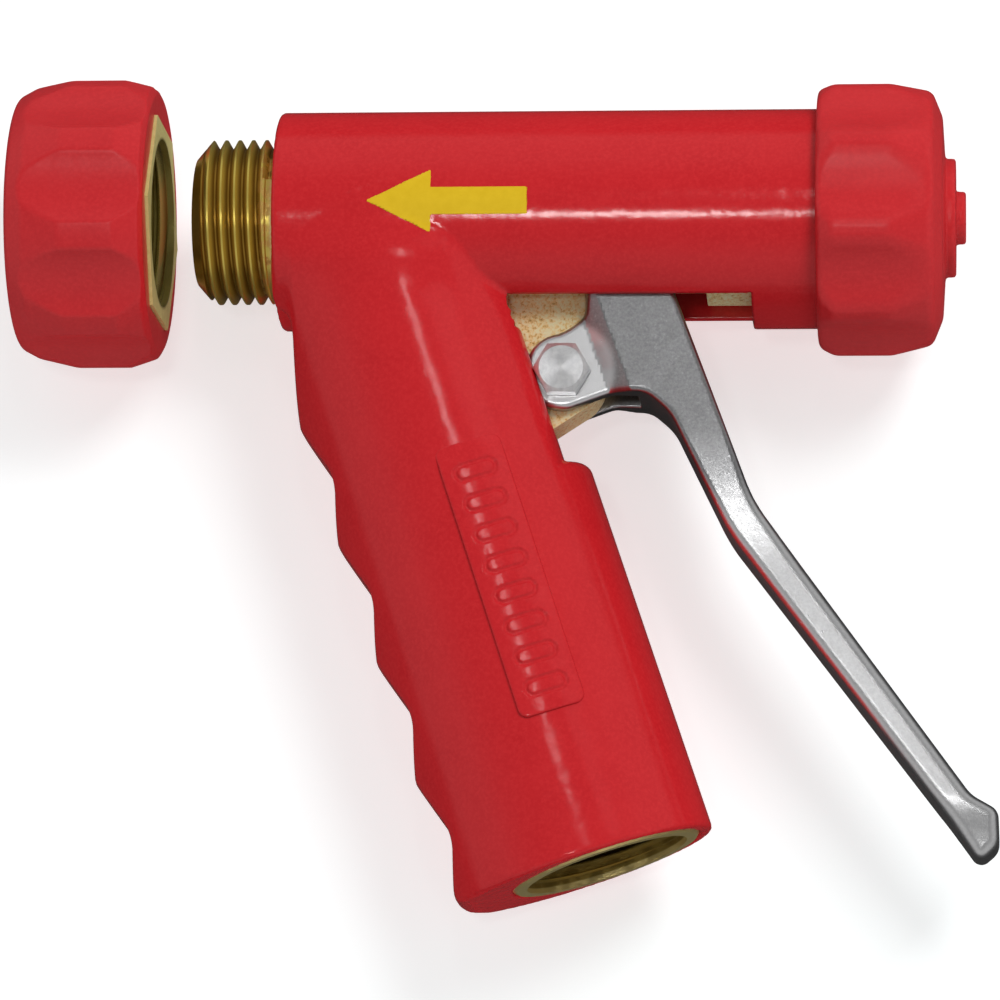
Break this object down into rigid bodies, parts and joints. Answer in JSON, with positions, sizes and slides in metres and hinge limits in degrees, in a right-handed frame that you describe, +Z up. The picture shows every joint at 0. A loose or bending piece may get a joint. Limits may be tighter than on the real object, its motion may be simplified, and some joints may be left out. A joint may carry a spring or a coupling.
{
  "type": "fire hose nozzle",
  "caption": "Rubber-covered brass pistol-grip washdown spray nozzle with a rear squeeze lever, a threaded outlet, a threaded grip inlet and a detached outlet ring.",
  "frame": {"origin": "on the barrel's axis, halfway along the male outlet thread", "axes": "+X along the barrel from the outlet to the rear cap, +Y away from the grip, +Z up: the nozzle lies on its side"},
  "size_m": [0.1596, 0.1366, 0.0468],
  "materials": {
    "cast_brass": "machined thread and inlet, rough as-cast lug",
    "turned_brass": "turned",
    "red_rubber": "semi-gloss moulded",
    "black_rubber": "matt",
    "stainless": "tumbled head, polished arm",
    "bright_steel": "turned",
    "stainless_bar": "ground",
    "spring_steel": "drawn wire",
    "packing": "smooth",
    "fibre": "pressed fibre"
  },
  "bodies": {
    "root": {"body_casting": "cast_brass", "rubber_cover": "red_rubber", "pivot_bolt": "bright_steel", "pivot_nut": "bright_steel", "gland_washer": "turned_brass", "packing_ring_front": "packing", "packing_ring_middle": "packing", "packing_ring_rear": "packing", "gland_nut": "turned_brass", "rear_cap": "turned_brass", "rear_gasket": "fibre", "rear_bumper": "red_rubber", "return_spring": "spring_steel"},
    "lever": {"lever": "stainless"},
    "stem": {"valve_stem": "stainless_bar", "valve_disc": "black_rubber", "spray_plug": "turned_brass", "thrust_washer": "stainless_bar", "adjusting_nut": "turned_brass", "jam_nut": "turned_brass"},
    "ring_carrier": {"ring_washer": "black_rubber"},
    "ring": {"ring_nut": "turned_brass", "ring_cover": "red_rubber"}
  },
  "joints": [
    {"name": "lever_pivot", "type": "hinge", "parent": "root", "child": "lever", "pos_m": [0.0534, -0.0267, 0], "axis": [0, 0, 1], "range_deg": [-20, 0], "stiffness_Nm_per_rad": 1.2, "springref_deg": 20.05},
    {"name": "stem_slide", "type": "slide", "parent": "root", "child": "stem", "axis": [1, 0, 0], "range_m": [0, 0.0088], "deforming": ["return_spring"]},
    {"name": "ring_slide", "type": "slide", "parent": "root", "child": "ring_carrier", "axis": [1, 0, 0], "range_m": [0, 0.01755]},
    {"name": "ring_spin", "type": "hinge", "parent": "ring_carrier", "child": "ring", "pos_m": [-0.0252, 0, 0], "axis": [1, 0, 0], "range_deg": [0, 2860]}
  ],
  "couplings": [
    {"joint": "stem_slide", "follows": "lever_pivot", "m_per_rad": -0.0249},
    {"joint": "ring_slide", "follows": "ring_spin", "m_per_rad": 0.00035153}
  ]
}
